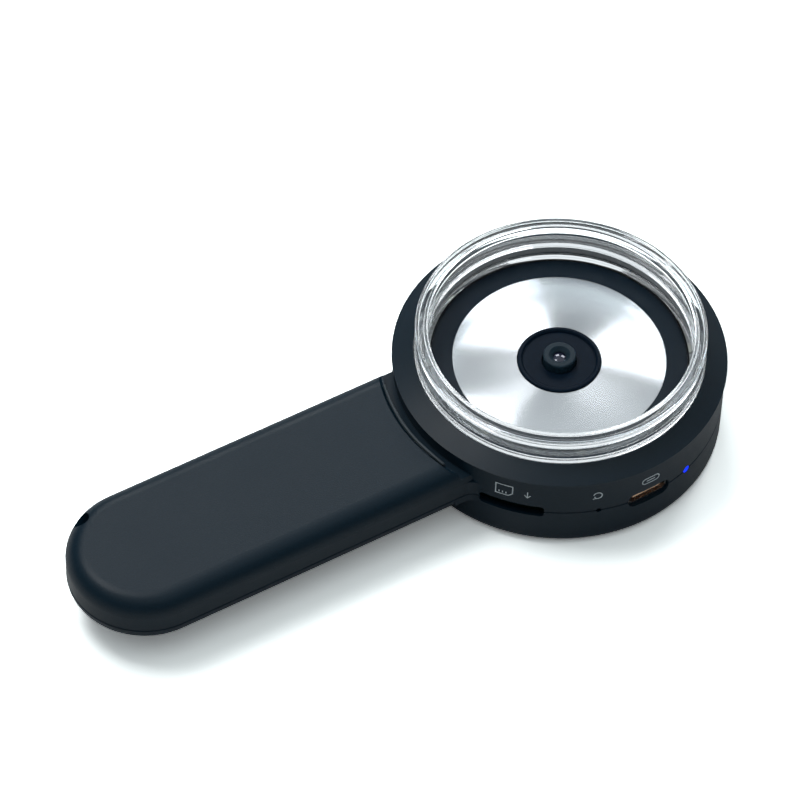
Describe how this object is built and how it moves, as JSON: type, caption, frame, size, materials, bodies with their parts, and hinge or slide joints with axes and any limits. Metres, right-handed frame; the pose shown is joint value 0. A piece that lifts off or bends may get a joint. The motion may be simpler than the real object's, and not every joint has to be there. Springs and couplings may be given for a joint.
{
  "type": "handheld digital microscope",
  "caption": "Handheld digital microscope: round head with screen, focus ring, clear standoff ring and lit lens well, on a flat handle with keys and a lanyard hole.",
  "frame": {"origin": "on the optical axis, in the plane that the screen side rests on", "axes": "+Z along the optical axis, out of the lens; the handle runs along -X; +Y completes the frame"},
  "size_m": [0.1388, 0.065, 0.0261],
  "materials": {
    "black_plastic": "moulded, fine grain, slight blue cast",
    "ring_plastic": "moulded, fine satin",
    "clear_plastic": "clear, polished acrylic",
    "well_plastic": "satin black",
    "satin_silver": "satin, brushed round the axis",
    "cowl_plastic": "smooth black",
    "barrel_black": "black, satin",
    "lens_glass": "coated glass",
    "steel": "satin nickel",
    "copper_tongue": "moulded tongue with copper contacts",
    "light_blue": "milky light guide",
    "window_glass": "polished cover glass",
    "display": "dark panel",
    "tape_black": "black film",
    "board_green": "coated board",
    "board_white": "white coated board",
    "chip_black": "moulded package",
    "connector_cream": "moulded connector",
    "ceramic_white": "white package with phosphor",
    "filter_glass": "infrared filter glass",
    "brass_post": "turned brass",
    "pouch_silver": "foil pouch",
    "foam_grey": "foam pad",
    "wire_red": "insulated leads",
    "ribbon_amber": "flexible ribbon",
    "button_rubber": "smooth key cap"
  },
  "bodies": {
    "housing": {"lens_side_shell": "black_plastic", "screen_side_shell": "black_plastic", "well_ring": "well_plastic", "reflector": "satin_silver", "lens_cowl": "cowl_plastic", "usb_c_shell": "steel", "usb_c_tongue": "copper_tongue", "card_socket_cover": "steel", "card_socket_tray": "chip_black", "light_guide": "light_blue", "case_screws": "steel", "handle_screws": "steel", "display_window": "window_glass", "window_tape": "tape_black", "display_panel": "display", "display_frame": "well_plastic", "display_ribbon": "ribbon_amber", "ribbon_socket": "connector_cream", "main_board": "board_green", "image_processor": "chip_black", "board_components": "chip_black", "image_sensor": "ceramic_white", "sensor_housing": "well_plastic", "infrared_filter": "filter_glass", "reset_switch": "steel", "status_led": "ceramic_white", "led_board": "board_white", "led_board_standoffs": "brass_post", "led_board_screws": "steel", "standoff_screws": "steel", "white_leds": "ceramic_white", "board_link": "chip_black", "key_board": "board_green", "key_switches": "steel", "key_board_screws": "steel", "key_ribbon": "ribbon_amber", "key_ribbon_socket": "connector_cream", "battery": "pouch_silver", "battery_pad": "foam_grey", "battery_leads": "wire_red", "battery_plug": "connector_cream", "battery_socket": "connector_cream"},
    "focus": {"focus_ring": "ring_plastic", "focus_snap_ring": "steel"},
    "standoff": {"clear_ring": "clear_plastic"},
    "lens": {"lens_carrier": "well_plastic", "follower_pins": "steel", "lens_barrel": "barrel_black", "front_lens": "lens_glass", "rear_lens": "lens_glass"},
    "zoom_in_key": {"zoom_in_button": "button_rubber"},
    "zoom_out_key": {"zoom_out_button": "button_rubber"},
    "shutter_key": {"shutter_button": "button_rubber"},
    "power_key": {"power_button": "button_rubber"},
    "reset_key": {"reset_plunger": "chip_black"}
  },
  "joints": [
    {"name": "focus_turn", "type": "hinge", "parent": "housing", "child": "focus", "pos_m": [0, 0, 0.0179], "axis": [0, 0, 1], "range_deg": [-45, 45]},
    {"name": "standoff_pull", "type": "slide", "parent": "focus", "child": "standoff", "axis": [0, 0, 1], "range_m": [0, 0.01]},
    {"name": "lens_focus", "type": "slide", "parent": "housing", "child": "lens", "axis": [0, 0, 1], "range_m": [-0.00075, 0.00075]},
    {"name": "zoom_in_press", "type": "slide", "parent": "housing", "child": "zoom_in_key", "axis": [0, 0, 1], "range_m": [0, 0.0004], "stiffness_N_per_m": 400, "springref_m": -0.0005},
    {"name": "shutter_press", "type": "slide", "parent": "housing", "child": "shutter_key", "axis": [0, 0, 1], "range_m": [0, 0.0004], "stiffness_N_per_m": 400, "springref_m": -0.0005},
    {"name": "zoom_out_press", "type": "slide", "parent": "housing", "child": "zoom_out_key", "axis": [0, 0, 1], "range_m": [0, 0.0004], "stiffness_N_per_m": 400, "springref_m": -0.0005},
    {"name": "power_press", "type": "slide", "parent": "housing", "child": "power_key", "axis": [0, 0, 1], "range_m": [0, 0.0004], "stiffness_N_per_m": 400, "springref_m": -0.0005},
    {"name": "reset_press", "type": "slide", "parent": "housing", "child": "reset_key", "axis": [0.3024, 0.9532, 0], "range_m": [0, 0.0003], "stiffness_N_per_m": 400, "springref_m": -0.0004}
  ],
  "couplings": [
    {"joint": "lens_focus", "follows": "focus_turn", "m_per_rad": 0.00095493}
  ]
}
